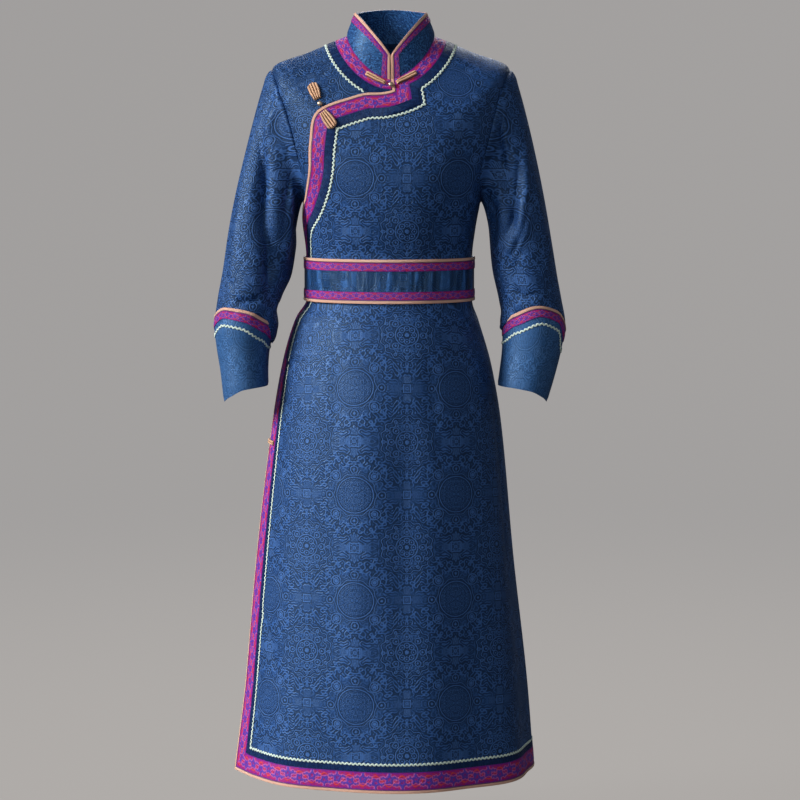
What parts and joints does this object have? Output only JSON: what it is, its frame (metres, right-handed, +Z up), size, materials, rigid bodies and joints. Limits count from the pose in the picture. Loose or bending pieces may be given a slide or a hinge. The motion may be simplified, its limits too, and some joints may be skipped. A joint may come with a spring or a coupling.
{
  "type": "mongolian deel robe",
  "caption": "Long wrap-over robe with a round shoulder flap, standing collar, long sleeves with cuffs, trimmed borders and a wide belt, in its worn form.",
  "frame": {"origin": "between the shoulders at the foot of the collar, where the wearer holds the robe up", "axes": "+Z up along the wearer, -Y to the wearer's front, +X to the wearer's left"},
  "size_m": [0.6473, 0.397, 1.4096],
  "materials": {
    "brocade": "blue silk brocade, tone on tone",
    "brocade_under": "blue silk brocade, tone on tone",
    "satin": "blue satin",
    "collar_satin": "bright blue ribbed satin",
    "braid": "woven raspberry braid",
    "ribbon": "dark blue shot ribbon",
    "peach_satin": "peach satin",
    "mint_ricrac": "pale mint ric-rac",
    "gold_metal": "soft gold"
  },
  "bodies": {
    "root": {"back": "brocade", "back_hem_binding": "peach_satin", "back_hem_braid": "braid", "back_hem_ribbon": "ribbon", "back_hem_ricrac": "mint_ricrac", "back_neck_braid": "braid", "back_neck_ribbon": "ribbon", "back_neck_ricrac": "mint_ricrac", "belt": "satin", "belt_binding_foot": "peach_satin", "belt_binding_top": "peach_satin", "belt_braid_foot": "braid", "belt_braid_top": "braid", "collar": "collar_satin", "collar_binding": "peach_satin", "collar_braid": "braid", "cuff_left": "satin", "cuff_left_binding": "peach_satin", "cuff_left_braid": "braid", "cuff_left_ricrac": "mint_ricrac", "cuff_right": "satin", "cuff_right_binding": "peach_satin", "cuff_right_braid": "braid", "cuff_right_ricrac": "mint_ricrac", "frog_collar_left": "peach_satin", "frog_collar_right": "peach_satin", "frog_shoulder_lower": "peach_satin", "frog_shoulder_upper": "peach_satin", "front_overlap": "brocade", "front_under": "brocade_under", "knot_collar": "gold_metal", "knot_shoulder": "gold_metal", "overlap_binding": "peach_satin", "overlap_braid": "braid", "overlap_ribbon": "ribbon", "overlap_ricrac": "mint_ricrac", "side_toggle": "peach_satin", "sleeve_left": "brocade", "sleeve_right": "brocade", "under_braid": "braid", "under_ribbon": "ribbon", "under_ricrac": "mint_ricrac"}
  },
  "joints": []
}
